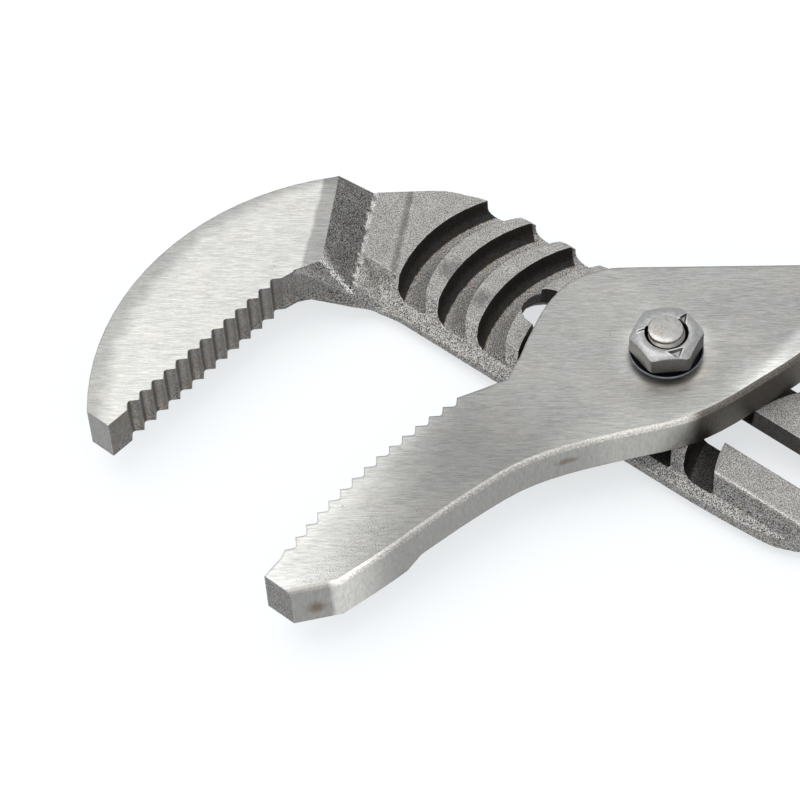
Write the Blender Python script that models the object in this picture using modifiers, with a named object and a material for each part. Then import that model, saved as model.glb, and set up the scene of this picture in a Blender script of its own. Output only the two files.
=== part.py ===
"""Water pump pliers: two forged halves with stepped channels, a sliding pivot bolt and dipped grips.

The pliers lie flat, jaws towards -X and handles towards +X. The origin is the middle of the bolt
head's outer face, so the bolt's axis is the Z axis. Along the slot, the bolt steps from one
channel of the lower half to the next. The flat outlines are drawn in the slot's own directions:
"along" runs down the slot, the way the jaws open, and "across" runs to its left, square to it.
"""
import math

import bmesh
import bpy
from mathutils import Matrix, Vector

MM = 0.001

# Clearances, cutting allowances and smoothness
GAP = 0.3 * MM
OVERRUN = 2.0 * MM
WELD = 0.01 * MM
ROUND_STEPS = 40
CHANNEL_STEPS = 24
OVAL_SIDES = 16

# Thicknesses, from the face that the bolt head rests on upwards
HEAD_HEIGHT = 3.7 * MM
SHANK_THICKNESS = 11.5 * MM
PLATE_THICKNESS = 11.5 * MM
JAW_THICKNESS = 14.5 * MM

# Slot and channels of the groove half
SLOT_ANGLE = math.radians(-43.65)
CHANNEL_PITCH = 15.29 * MM
CHANNEL_COUNT = 8
REST_CHANNEL = 3
CHANNEL_RADIUS = 44.4 * MM
CHANNEL_WIDTH = 9.4 * MM
CHANNEL_DEPTH = 6.5 * MM
OUTER_ROUND = 3.0 * MM
INNER_ROUND = 1.0 * MM
CHANNEL_HALF_SWEEP = math.radians(76.0)
SLOT_HALF_WIDTH = 7.2 * MM
SLOT_PLAY = 0.45 * MM
SLOT_FLARE = 3.8 * MM
SLOT_WAIST_SHARE = 0.5

# Shank of the groove half
SHANK_HALF_WIDTH = 24.2 * MM
SHANK_EDGE = 1.6 * MM
RIB_MARGIN = 6.8 * MM
FLANK_RUN = 2.6 * MM
WALL_HEIGHT = 2.4 * MM

# Jaw of the groove half
UPPER_LEAD = 17.3 * MM
UPPER_REACH = 118.2 * MM
UPPER_BULGE = 21.8 * MM
UPPER_NOSE = 8.4 * MM
UPPER_TEETH = 13
FACET_ANGLE = math.radians(31.8)
FACET_LEAD = 3.0 * MM
FACET_RUN = 9.3 * MM
THROAT_ANGLE = math.radians(-26.0)
THROAT_LEAD = 30.7 * MM
THROAT_RUN = 4.3 * MM
BELLY_LEAD = 3.6 * MM
BELLY_RUN = 20.0 * MM

# Teeth of both jaws
TOOTH_PITCH = 4.95 * MM
TOOTH_DEPTH = 2.3 * MM
NOSE_FLAT = 7.5 * MM

# Tongue half
LOWER_LINE = 40.0 * MM
LOWER_REACH = 129.6 * MM
LOWER_NOSE = 9.6 * MM
LOWER_TEETH = 14
LOWER_BOW = 3.1 * MM
LOWER_THROAT = 48.9 * MM
PLATE_RUN = 43.0 * MM
PLATE_RISE = 29.8 * MM
SHOULDER_SLOPE = 4.0 * MM
TONGUE_THICKNESS = 3.1 * MM
TONGUE_HALF_SWEEP = math.radians(26.0)
TONGUE_ROOT = 1.5 * MM
BOLT_PLAY = 0.3 * MM

# Handles, along X from the bolt
HANDLE_REACH = 237.0 * MM
HANDLE_WIDTH = 20.0 * MM
HANDLE_TIP_WIDTH = 16.5 * MM
HANDLE_THICKNESS = 11.0 * MM
HANDLE_BEND = 88.0 * MM
HANDLE_OVERLAP = 14.0 * MM
GROOVE_HANDLE_START = 62.0 * MM
GROOVE_HANDLE_OFFSET = 48.0 * MM
GROOVE_HANDLE_FLARE = 11.0 * MM
TONGUE_HANDLE_START = 54.0 * MM
TONGUE_HANDLE_NECK = 18.6 * MM
TONGUE_HANDLE_OFFSET = 29.0 * MM
TONGUE_HANDLE_FLARE = 17.0 * MM
FLARE_POWER = 1.2
GRIP_START = 112.0 * MM
GRIP_WALL = 3.4 * MM
GRIP_LIP = 1.2 * MM
GRIP_LIP_RUN = 7.0 * MM

# Pivot bolt, nut and washer
BOLT_RADIUS = 5.5 * MM
BOLT_CHAMFER = 0.75 * MM
BOLT_STAND_OUT = 0.5 * MM
BOLT_CROWN = 0.35 * MM
HEAD_RADIUS = 12.0 * MM
HEAD_CHAMFER = 0.8 * MM
NUT_ACROSS_FLATS = 19.0 * MM
NUT_HEIGHT = 7.5 * MM
NUT_BORE = 6.2 * MM
NUT_CHAMFER_RUN = 1.9 * MM
NUT_CHAMFER_DROP = 1.0 * MM
STAKE_SIZE = 1.9 * MM
STAKE_DEPTH = 0.8 * MM
STAKE_RING = 7.9 * MM
STAKE_ANGLES = (math.radians(49.0), math.radians(178.0), math.radians(-70.0))
WASHER_RADIUS = 10.5 * MM
WASHER_BORE = 5.9 * MM
WASHER_THICKNESS = 1.1 * MM
WASHER_DISH = 1.9 * MM

# Outline of the groove half: shares of the jaw's lead along, and of the shank's half width across
THROAT_SHARES = ((0.11, -1.75), (0.27, -1.6), (0.77, -1.255), (1.05, -1.07), (1.5, -1.0))
CROWN_SHARES = ((2.2, 1.0), (1.34, 0.9), (0.98, 0.81), (0.59, 0.69), (0.12, 0.42), (-0.34, 0.14))
# Shares of the last channel's place along, and of the shank's half width across
HEEL_SHARES = ((0.44, -0.96), (0.65, -0.935), (0.83, -0.9), (0.91, -0.865), (1.0, -0.77))
BROW_SHARES = ((1.1, 0.84), (0.97, 0.97), (0.86, 1.0))

# Outline of the tongue half: shares of the plate's radius, round its front edge
FRONT_SHARES = (
    (-0.84, -0.65), (-0.905, -0.465), (-0.985, -0.17), (-0.985, 0.12), (-0.86, 0.37), (-0.7, 0.52),
)
# Shares of the jaw's reach, from the handle back along the lower edge to the nose
BACK_SHARES = (
    (0.258, 0.289), (0.238, 0.172), (0.214, 0.075), (0.184, -0.035), (0.142, -0.126), (0.062, -0.235),
    (-0.012, -0.342), (-0.062, -0.44), (-0.095, -0.56), (-0.12, -0.681), (-0.143, -0.806), (-0.168, -0.915),
)
# The shoulder under the jaw: shares of the tooth line along, and of the reach across
SHOULDER_SHARES = ((-1.3, -0.36), (-0.1, -0.82))

# Stations down a channel's rounded corner, as shares of a quarter turn
CORNER_SHARES = (0, 0.25, 0.5, 0.75, 1)

# Stations along a handle and along a grip, as shares of their lengths, and how square a core is
HANDLE_SHARES = (0, 0.12, 0.3, 0.5, 0.7, 0.85, 0.94, 0.98, 1.0)
GRIP_SHARES = (0, 0.25, 0.5, 0.7, 0.85, 0.93, 0.97, 0.99, 1.0)
SQUARE_SHARE = 0.16
ROUND_SHARE = 0.55

# Levels worked out from the thicknesses
SHANK_LOW = HEAD_HEIGHT + GAP
SHANK_TOP = SHANK_LOW + SHANK_THICKNESS
PLATE_LOW = SHANK_TOP + GAP
PLATE_TOP = PLATE_LOW + PLATE_THICKNESS
JAW_LOW = PLATE_TOP - JAW_THICKNESS
CHANNEL_FLOOR = SHANK_TOP - CHANNEL_DEPTH
WASHER_LOW = PLATE_TOP + GAP
NUT_LOW = WASHER_LOW + WASHER_THICKNESS + WASHER_DISH + GAP
NUT_TOP = NUT_LOW + NUT_HEIGHT
BOLT_TOP = NUT_TOP + BOLT_STAND_OUT
PLATE_LEVEL = (PLATE_LOW + PLATE_TOP) / 2
HANDLE_LEVEL = SHANK_LOW + SHANK_THICKNESS / 2
GRIP_END = HANDLE_REACH + GRIP_WALL

# Places along the slot, worked out from the channels
FIRST_CENTRE = -REST_CHANNEL * CHANNEL_PITCH
LAST_CENTRE = (CHANNEL_COUNT - 1 - REST_CHANNEL) * CHANNEL_PITCH
UPPER_LINE = FIRST_CENTRE - CHANNEL_RADIUS - UPPER_LEAD
FAR = UPPER_REACH * 2

# The tongue bears on a channel's inner wall, and the plate reaches as far as the tongue
TONGUE_INNER = CHANNEL_RADIUS - CHANNEL_WIDTH + INNER_ROUND + GAP
PLATE_RADIUS = TONGUE_INNER + TONGUE_THICKNESS

UP = Vector((0, 0, 1))
ALONG = Vector((math.cos(SLOT_ANGLE), math.sin(SLOT_ANGLE), 0))
ACROSS = UP.cross(ALONG)
CHANNEL_ANGLE = SLOT_ANGLE + math.pi

COLOURS = {
    "forged_steel": ((0.36, 0.35, 0.33, 1), 0.55, 0.9),
    "ground_steel": ((0.56, 0.56, 0.54, 1), 0.35, 0.95),
    "bolt_steel": ((0.52, 0.50, 0.47, 1), 0.35, 0.95),
    "nut_steel": ((0.42, 0.41, 0.39, 1), 0.4, 0.95),
    "black_steel": ((0.02, 0.02, 0.022, 1), 0.2, 0.9),
    "lower_vinyl": ((0.42, 0.03, 0.025, 1), 0.45, 0.0),
    "upper_vinyl": ((0.4, 0.028, 0.024, 1), 0.45, 0.0),
}


def clear_scene():
    for item in list(bpy.data.objects):
        bpy.data.objects.remove(item, do_unlink=True)


def new_collection(name):
    collection = bpy.data.collections.new(name)
    bpy.context.scene.collection.children.link(collection)
    return collection


def material(name):
    colour, roughness, metallic = COLOURS[name]
    made = bpy.data.materials.new(name)
    made.use_nodes = True
    shader = made.node_tree.nodes["Principled BSDF"]
    shader.inputs["Base Color"].default_value = colour
    shader.inputs["Roughness"].default_value = roughness
    shader.inputs["Metallic"].default_value = metallic
    return made


def add_object(name, mesh, collection, surface=None):
    """A part when it has a surface, and a cutter when it has none."""
    made = bpy.data.objects.new(name, mesh)
    collection.objects.link(made)
    if surface:
        mesh.materials.append(material(surface))
    else:
        made.hide_render = True
        made.display_type = "WIRE"
    return made


def combine(target, other, operation):
    modifier = target.modifiers.new(other.name, "BOOLEAN")
    modifier.object = other
    modifier.operation = operation
    modifier.solver = "EXACT"


def at(along, across):
    """A point of the plan, given in the slot's directions."""
    return ALONG * along + ACROSS * across


def scaled(shares, along, across, start=0.0):
    """Plan points from shares of two sizes."""
    return [at(start + along * first, across * second) for first, second in shares]


def smooth(points, steps=3):
    """A smooth curve through a few plan points."""
    padded = [points[0] * 2 - points[1]] + list(points) + [points[-1] * 2 - points[-2]]
    curve = [points[0]]
    for before, start, end, after in zip(padded, padded[1:], padded[2:], padded[3:]):
        for step in range(1, steps + 1):
            t = step / steps
            bend = (before * 2 - start * 5 + end * 4 - after) * t
            twist = (start * 3 - before - end * 3 + after) * t * t
            curve.append(start + (end - before + bend + twist) * t / 2)
    return curve


def arc(start, end, bulge, steps):
    """Points from start to end along a circle that bulges to the left of the way there."""
    chord = end - start
    radius = (chord.length ** 2 / 4 + bulge ** 2) / (2 * bulge)
    way = chord.normalized()
    left = UP.cross(way)
    centre = (start + end) / 2 + left * (bulge - radius)
    half = math.asin(chord.length / 2 / radius)
    points = []
    for step in range(steps + 1):
        angle = half * (1 - 2 * step / steps)
        points.append(centre + left * radius * math.cos(angle) - way * radius * math.sin(angle))
    return points


def slab(name, outline, low, high, collection, surface=None, turn=None):
    """A flat outline between two levels, as one closed mesh."""
    curve = bpy.data.curves.new(name, "CURVE")
    curve.dimensions = "2D"
    curve.fill_mode = "BOTH"
    curve.extrude = (high - low) / 2
    spline = curve.splines.new("POLY")
    spline.points.add(len(outline) - 1)
    for target, point in zip(spline.points, outline):
        target.co = (point.x, point.y, 0, 1)
    spline.use_cyclic_u = True
    drawn = bpy.data.objects.new(name, curve)
    collection.objects.link(drawn)
    drawn.location.z = (low + high) / 2
    bpy.context.view_layer.update()
    evaluated = drawn.evaluated_get(bpy.context.evaluated_depsgraph_get())
    mesh = bpy.data.meshes.new_from_object(evaluated)
    mesh.transform((turn or Matrix()) @ drawn.matrix_world)
    bpy.data.objects.remove(drawn)
    bpy.data.curves.remove(curve)
    mesh.materials.clear()
    work = bmesh.new()
    work.from_mesh(mesh)
    bmesh.ops.remove_doubles(work, verts=work.verts, dist=WELD)
    bmesh.ops.recalc_face_normals(work, faces=work.faces)
    work.to_mesh(mesh)
    work.free()
    return add_object(name, mesh, collection, surface)


def bar(name, section, facing, collection, surface=None, end=FAR):
    """A long straight bar, with a section of (distance in the facing direction, height)."""
    turn = Matrix((facing, UP, facing.cross(UP))).transposed().to_4x4()
    outline = [Vector((distance, height, 0)) for distance, height in section]
    return slab(name, outline, -FAR, end, collection, surface, turn)


def loft(name, rings, collection, surface=None):
    """A skin over rings of equal point counts, capped at both ends."""
    work = bmesh.new()
    loops = [[work.verts.new(point) for point in ring] for ring in rings]
    for near, far in zip(loops, loops[1:]):
        for index in range(len(near)):
            after = (index + 1) % len(near)
            work.faces.new((near[index], near[after], far[after], far[index]))
    work.faces.new(loops[0])
    work.faces.new(loops[-1])
    bmesh.ops.recalc_face_normals(work, faces=work.faces)
    mesh = bpy.data.meshes.new(name)
    work.to_mesh(mesh)
    work.free()
    return add_object(name, mesh, collection, surface)


def turned(name, profile, collection, surface=None):
    """A shape turned about Z from a profile of (radius, height) that runs down its outer side."""
    work = bmesh.new()
    corners = [work.verts.new((radius, 0, height)) for radius, height in profile]
    links = list(zip(corners, corners[1:]))
    if profile[0][0] > 0:
        links.append((corners[-1], corners[0]))
    for start, end in links:
        work.edges.new((start, end))
    mesh = bpy.data.meshes.new(name)
    work.to_mesh(mesh)
    work.free()
    made = add_object(name, mesh, collection, surface)
    screw = made.modifiers.new("Turn", "SCREW")
    screw.steps = ROUND_STEPS
    screw.render_steps = ROUND_STEPS
    screw.use_merge_vertices = True
    screw.merge_threshold = WELD
    return made


def sector(name, centre, section, half_sweep, collection):
    """Part of a ring about a vertical axis, with a section of (radius, height)."""
    rings = []
    for step in range(CHANNEL_STEPS + 1):
        angle = CHANNEL_ANGLE + half_sweep * (2 * step / CHANNEL_STEPS - 1)
        way = Vector((math.cos(angle), math.sin(angle), 0))
        rings.append([centre + way * radius + UP * level for radius, level in section])
    return loft(name, rings, collection)


def stadium(start, end, radius, level):
    """Outline of a slot between two centres along the slot line."""
    ring = []
    steps = ROUND_STEPS // 4
    for centre, first in ((end, -math.pi / 2), (start, math.pi / 2)):
        for step in range(steps + 1):
            angle = first + math.pi * step / steps
            ring.append(at(centre + radius * math.cos(angle), radius * math.sin(angle)) + UP * level)
    return ring


def tooth_row(first, last, count, depth, bow=0.0):
    """Zigzag from crest to crest; roots lie at depth along the slot, and bow curves the row."""
    points = []
    for index in range(2 * count + 1):
        share = index / (2 * count)
        root = index % 2
        points.append(first.lerp(last, share) + at(root * depth - bow * 4 * share * (1 - share), 0))
    return points


def oval(place, width, thickness, share):
    """A ring square to X: a share near 0 makes it a rectangle, and 1 makes it an ellipse."""
    ring = []
    peak = math.cos(math.pi / OVAL_SIDES) ** share
    for index in range(OVAL_SIDES):
        angle = math.tau * (index + 0.5) / OVAL_SIDES
        out = math.copysign(abs(math.cos(angle)) ** share, math.cos(angle)) / peak
        up = math.copysign(abs(math.sin(angle)) ** share, math.sin(angle)) / peak
        ring.append(place + Vector((0, out * width / 2, up * thickness / 2)))
    return ring


def flared(reach):
    """How far along its spreading stretch a handle is, from 0 to 1."""
    return min(1.0, max(0.0, (reach - HANDLE_BEND) / (HANDLE_REACH - HANDLE_BEND)))


def handle_width(reach):
    return HANDLE_WIDTH + (HANDLE_TIP_WIDTH - HANDLE_WIDTH) * flared(reach)


def end_round(reach, end, radius):
    """Share of the full size that is left near a rounded end."""
    into = max(0.0, reach - end + radius) / radius
    return math.sqrt(max(0.1, 1 - into * into))


def groove_middle(reach):
    spread = GROOVE_HANDLE_OFFSET + GROOVE_HANDLE_FLARE * flared(reach) ** FLARE_POWER
    return Vector((reach, -spread, HANDLE_LEVEL))


def tongue_middle(reach):
    """The upper handle steps down behind the plate, to lie level with the lower one."""
    spread = TONGUE_HANDLE_OFFSET + TONGUE_HANDLE_FLARE * flared(reach) ** FLARE_POWER
    down = min(1.0, (reach - TONGUE_HANDLE_START) / (HANDLE_BEND - TONGUE_HANDLE_START))
    start = Vector((reach, TONGUE_HANDLE_NECK, PLATE_LEVEL))
    return start.lerp(Vector((reach, spread, HANDLE_LEVEL)), down)


def handle_core(name, middle, first, collection, extra=0.0):
    """Core of a handle from its first station to its rounded end, thicker all round by extra."""
    rings = []
    stations = [first] if first < HANDLE_BEND else []
    stations += [HANDLE_BEND + (HANDLE_REACH - HANDLE_BEND) * share for share in HANDLE_SHARES]
    for reach in stations:
        left = end_round(reach, HANDLE_REACH, HANDLE_TIP_WIDTH / 2)
        share = SQUARE_SHARE if reach < HANDLE_BEND else ROUND_SHARE
        width = handle_width(reach) * left + 2 * extra
        thickness = HANDLE_THICKNESS * math.sqrt(left) + 2 * extra
        rings.append(oval(middle(reach), width, thickness, share))
    rings[-1] = [point + Vector((extra, 0, 0)) for point in rings[-1]]
    return loft(name, rings, collection)


def groove_half_plan():
    """Outline of the jaw, the shank and the handle's root, from the nose round by the teeth."""
    crest = at(UPPER_LINE - TOOTH_DEPTH * 0.8, NOSE_FLAT - UPPER_REACH)
    last = crest + at(TOOTH_DEPTH * 1.15, TOOTH_PITCH * UPPER_TEETH)
    nose = UPPER_LINE - TOOTH_DEPTH
    points = [at(nose, -UPPER_REACH)]
    points += tooth_row(crest, last, UPPER_TEETH, -TOOTH_DEPTH)
    points += smooth(scaled(THROAT_SHARES, UPPER_LEAD, SHANK_HALF_WIDTH, UPPER_LINE))
    points += smooth(scaled(HEEL_SHARES, LAST_CENTRE, SHANK_HALF_WIDTH))
    edge = HANDLE_WIDTH / 2
    root = GROOVE_HANDLE_START + HANDLE_OVERLAP
    points += [
        Vector((GROOVE_HANDLE_START * 0.74, -GROOVE_HANDLE_OFFSET - edge * 0.93, 0)),
        Vector((GROOVE_HANDLE_START, -GROOVE_HANDLE_OFFSET - edge, 0)),
        Vector((root, -GROOVE_HANDLE_OFFSET - edge * 0.9, 0)),
        Vector((root, -GROOVE_HANDLE_OFFSET + edge * 0.9, 0)),
    ]
    points += scaled(BROW_SHARES, LAST_CENTRE, SHANK_HALF_WIDTH)
    points += smooth(scaled(CROWN_SHARES, UPPER_LEAD, SHANK_HALF_WIDTH, UPPER_LINE))
    back_end = at(UPPER_LINE - UPPER_LEAD * 0.73, -UPPER_REACH * 0.058)
    points += arc(at(nose - UPPER_NOSE, -UPPER_REACH), back_end, UPPER_BULGE, 20)[::-1]
    return points


def tongue_half_plan():
    """Outline of the jaw, the plate and the handle's root, from the nose round by the teeth."""
    crest = at(-LOWER_LINE - TOOTH_DEPTH * 0.6, NOSE_FLAT * 1.36 - LOWER_REACH)
    last = at(-LOWER_LINE + TOOTH_DEPTH, -LOWER_THROAT)
    points = [at(-LOWER_LINE, -LOWER_REACH), at(-LOWER_LINE - TOOTH_DEPTH * 0.2, NOSE_FLAT - LOWER_REACH)]
    points += tooth_row(crest, last, LOWER_TEETH, TOOTH_DEPTH, LOWER_BOW)
    points.append(at(-LOWER_LINE * 0.85, -LOWER_THROAT * 0.855))
    points.append(at(-LOWER_LINE * 0.765, -LOWER_THROAT * 0.71))
    points += smooth(scaled(FRONT_SHARES, PLATE_RADIUS, PLATE_RADIUS), 4)
    edge = HANDLE_WIDTH / 2
    root = TONGUE_HANDLE_START + HANDLE_OVERLAP
    neck = (TONGUE_HANDLE_NECK + TONGUE_HANDLE_OFFSET) / 2
    points += [
        Vector((PLATE_RUN, PLATE_RISE, 0)),
        Vector((TONGUE_HANDLE_START, TONGUE_HANDLE_NECK + edge, 0)),
        Vector((root, neck + edge * 0.8, 0)),
        Vector((root, neck - edge * 0.9, 0)),
        Vector((TONGUE_HANDLE_START, TONGUE_HANDLE_NECK - edge * 1.2, 0)),
    ]
    points += smooth(scaled(BACK_SHARES, LOWER_REACH, LOWER_REACH))
    points.append(at(LOWER_NOSE - LOWER_LINE, -LOWER_REACH))
    return points


def slope_cut(name, angle, start, run, cutters, end=FAR):
    """Leaves a slope that starts at the jaw's face and falls to the shank's top within its run."""
    facing = ALONG * math.cos(angle) + ACROSS * math.sin(angle)
    lean = run / (PLATE_TOP - SHANK_TOP)
    low = SHANK_LOW - OVERRUN
    high = PLATE_TOP + OVERRUN
    section = (
        (start - lean * OVERRUN, high),
        (start + lean * (PLATE_TOP - low), low),
        (FAR, low),
        (FAR, high),
    )
    return bar(name, section, facing, cutters, end=end)


def add_upper_jaw(parts, cutters):
    """Block that the upper jaw is cut from, with the two slopes that fall from its face."""
    section = ((-FAR, SHANK_LOW), (FAR, SHANK_LOW), (FAR, PLATE_TOP), (-FAR, PLATE_TOP))
    half = bar("groove_half", section, ALONG, parts, "forged_steel")
    facet = slope_cut("facet_cut", FACET_ANGLE, UPPER_LINE + FACET_LEAD, FACET_RUN, cutters)
    combine(half, facet, "DIFFERENCE")
    corner = scaled(THROAT_SHARES, UPPER_LEAD, SHANK_HALF_WIDTH, UPPER_LINE)[0]
    along_slope = ALONG * math.sin(THROAT_ANGLE) - ACROSS * math.cos(THROAT_ANGLE)
    start, end = UPPER_LINE + THROAT_LEAD, corner.dot(along_slope)
    combine(half, slope_cut("throat_cut", THROAT_ANGLE, start, THROAT_RUN, cutters, end), "DIFFERENCE")
    return half


def add_shank(half, cutters):
    """The shank has flat rib tops, a steep flank on its right and a low sloping margin."""
    foot = SHANK_LOW + WALL_HEIGHT
    ridge = RIB_MARGIN - SHANK_HALF_WIDTH
    fall = (CHANNEL_FLOOR + GAP - foot) / (RIB_MARGIN - FLANK_RUN)
    section = (
        (-SHANK_HALF_WIDTH - OVERRUN, SHANK_LOW),
        (-SHANK_HALF_WIDTH - OVERRUN, foot - fall * OVERRUN),
        (ridge - FLANK_RUN, CHANNEL_FLOOR + GAP),
        (ridge, SHANK_TOP),
        (SHANK_HALF_WIDTH - SHANK_EDGE, SHANK_TOP),
        (SHANK_HALF_WIDTH + OVERRUN, SHANK_TOP - SHANK_EDGE - OVERRUN),
        (SHANK_HALF_WIDTH + OVERRUN, SHANK_LOW),
    )
    combine(half, bar("shank_stock", section, ACROSS, cutters), "UNION")


def cut_belly(half, cutters):
    """The jaw's underside lies above the shank's, with a slope between them."""
    facing = ALONG * math.cos(FACET_ANGLE) + ACROSS * math.sin(FACET_ANGLE)
    start = UPPER_LINE + FACET_LEAD - BELLY_LEAD
    low = SHANK_LOW - OVERRUN
    lean = BELLY_RUN / (JAW_LOW - SHANK_LOW)
    section = ((-FAR, low), (start + lean * (JAW_LOW - low), low), (start, JAW_LOW), (-FAR, JAW_LOW))
    combine(half, bar("belly_cut", section, facing, cutters), "DIFFERENCE")


def cut_slot(half, cutters):
    """The slot is narrowest part way down, where the bolt runs, and flares to both faces."""
    waist = BOLT_RADIUS + SLOT_PLAY
    lead = SLOT_HALF_WIDTH - waist
    waist_level = SHANK_LOW + SHANK_THICKNESS * SLOT_WAIST_SHARE
    rings = [
        stadium(FIRST_CENTRE, LAST_CENTRE, SLOT_HALF_WIDTH + SLOT_FLARE, SHANK_LOW - OVERRUN),
        stadium(FIRST_CENTRE, LAST_CENTRE, waist, waist_level),
        stadium(FIRST_CENTRE + lead, LAST_CENTRE, SLOT_HALF_WIDTH, SHANK_TOP),
        stadium(FIRST_CENTRE + lead, LAST_CENTRE, SLOT_HALF_WIDTH, SHANK_TOP + OVERRUN),
    ]
    combine(half, loft("slot_cut", rings, cutters), "DIFFERENCE")


def corner_round(wall, radius, side):
    """Rounded corner between a channel's wall and its floor, from the wall down to the floor."""
    points = []
    for share in CORNER_SHARES:
        angle = share * math.pi / 2
        out = wall - side * radius * (1 - math.cos(angle))
        points.append((out, CHANNEL_FLOOR + radius * (1 - math.sin(angle))))
    return points


def cut_channels(half, cutters):
    """Arc channels about each of the bolt's places, with rounded corners along their floors."""
    inner = CHANNEL_RADIUS - CHANNEL_WIDTH
    high = SHANK_TOP + OVERRUN
    section = [(CHANNEL_RADIUS, high)] + corner_round(CHANNEL_RADIUS, OUTER_ROUND, 1)
    section += corner_round(inner, INNER_ROUND, -1)[::-1] + [(inner, high)]
    for index in range(CHANNEL_COUNT):
        centre = at(FIRST_CENTRE + index * CHANNEL_PITCH, 0)
        channel = sector(f"channel_cut_{index + 1}", centre, section, CHANNEL_HALF_SWEEP, cutters)
        combine(half, channel, "DIFFERENCE")


def build_groove_half(parts, cutters):
    half = add_upper_jaw(parts, cutters)
    add_shank(half, cutters)
    cut_belly(half, cutters)
    plan = slab("groove_half_outline", groove_half_plan(), SHANK_LOW - OVERRUN, PLATE_TOP + OVERRUN, cutters)
    combine(half, plan, "INTERSECT")
    cut_slot(half, cutters)
    cut_channels(half, cutters)
    combine(half, handle_core("groove_handle", groove_middle, GROOVE_HANDLE_START, cutters), "UNION")


def cut_shoulder(half, cutters):
    """The plate is thinner than the jaw: the underside steps up along a line behind the teeth."""
    start, end = scaled(SHOULDER_SHARES, LOWER_LINE, LOWER_REACH)
    facing = UP.cross(end - start).normalized()
    edge = start.dot(facing)
    drop = PLATE_LOW - JAW_LOW
    low = JAW_LOW - OVERRUN
    foot = edge - SHOULDER_SLOPE * (PLATE_LOW - low) / drop
    section = ((edge, PLATE_LOW), (foot, low), (FAR, low), (FAR, PLATE_LOW))
    combine(half, bar("shoulder_cut", section, facing, cutters), "DIFFERENCE")


def cut_ramp(half, cutters):
    """Where the handle steps down, the plate's top follows it."""
    lean = (HANDLE_BEND - TONGUE_HANDLE_START) / (PLATE_LEVEL - HANDLE_LEVEL)
    high = PLATE_TOP + OVERRUN
    section = (
        (TONGUE_HANDLE_START - lean * OVERRUN, high),
        (TONGUE_HANDLE_START + lean * PLATE_THICKNESS, PLATE_LOW),
        (FAR, PLATE_LOW),
        (FAR, high),
    )
    combine(half, bar("ramp_cut", section, Vector((1, 0, 0)), cutters), "DIFFERENCE")


def add_tongue(half, cutters):
    """The tongue runs in a channel and bears on the channel's inner wall."""
    low = CHANNEL_FLOOR + GAP
    high = PLATE_LOW + TONGUE_ROOT
    section = ((TONGUE_INNER, low), (PLATE_RADIUS, low), (PLATE_RADIUS, high), (TONGUE_INNER, high))
    combine(half, sector("tongue", Vector(), section, TONGUE_HALF_SWEEP, cutters), "UNION")


def build_tongue_half(parts, cutters):
    half = slab("tongue_half", tongue_half_plan(), JAW_LOW, PLATE_TOP, parts, "ground_steel")
    cut_shoulder(half, cutters)
    cut_ramp(half, cutters)
    add_tongue(half, cutters)
    bore = BOLT_RADIUS + BOLT_PLAY
    high = PLATE_TOP + OVERRUN
    profile = ((0, high), (bore, high), (bore, JAW_LOW), (0, JAW_LOW))
    combine(half, turned("pivot_bore", profile, cutters), "DIFFERENCE")
    combine(half, handle_core("tongue_handle", tongue_middle, TONGUE_HANDLE_START, cutters), "UNION")


def build_grip(name, middle, surface, parts, cutters):
    """A dipped sleeve with a closed end, on the last stretch of a handle."""
    lip_width = handle_width(GRIP_START) + 2 * GRIP_LIP
    rings = [oval(middle(GRIP_START), lip_width, HANDLE_THICKNESS + 2 * GRIP_LIP, ROUND_SHARE)]
    start = GRIP_START + GRIP_LIP_RUN
    for share in GRIP_SHARES:
        reach = start + (GRIP_END - start) * share
        left = end_round(reach, GRIP_END, HANDLE_TIP_WIDTH / 2 + GRIP_WALL)
        width = (handle_width(reach) + 2 * GRIP_WALL) * left
        rings.append(oval(middle(reach), width, 2 * HANDLE_LEVEL * math.sqrt(left), ROUND_SHARE))
    grip = loft(name, rings, parts, surface)
    combine(grip, handle_core(name + "_hollow", middle, HANDLE_BEND, cutters, GAP), "DIFFERENCE")


def build_bolt(parts):
    profile = (
        (0, BOLT_TOP + BOLT_CROWN),
        (BOLT_RADIUS / 2, BOLT_TOP + BOLT_CROWN * 0.8),
        (BOLT_RADIUS - BOLT_CHAMFER, BOLT_TOP),
        (BOLT_RADIUS, BOLT_TOP - BOLT_CHAMFER),
        (BOLT_RADIUS, HEAD_HEIGHT),
        (HEAD_RADIUS, HEAD_HEIGHT),
        (HEAD_RADIUS, HEAD_CHAMFER),
        (HEAD_RADIUS - HEAD_CHAMFER, 0),
        (0, 0),
    )
    turned("pivot_bolt", profile, parts, "bolt_steel")


def build_washer(parts):
    """The washer is dished, with its rim up under the nut."""
    rim = WASHER_LOW + WASHER_DISH
    profile = (
        (WASHER_BORE, WASHER_LOW + WASHER_THICKNESS),
        (WASHER_RADIUS, rim + WASHER_THICKNESS),
        (WASHER_RADIUS, rim),
        (WASHER_BORE, WASHER_LOW),
    )
    turned("spring_washer", profile, parts, "black_steel")


def ring_of(sides, radius, centre, first=0.0):
    angles = [first + math.tau * side / sides for side in range(sides)]
    return [centre + Vector((math.cos(angle), math.sin(angle), 0)) * radius for angle in angles]


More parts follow.
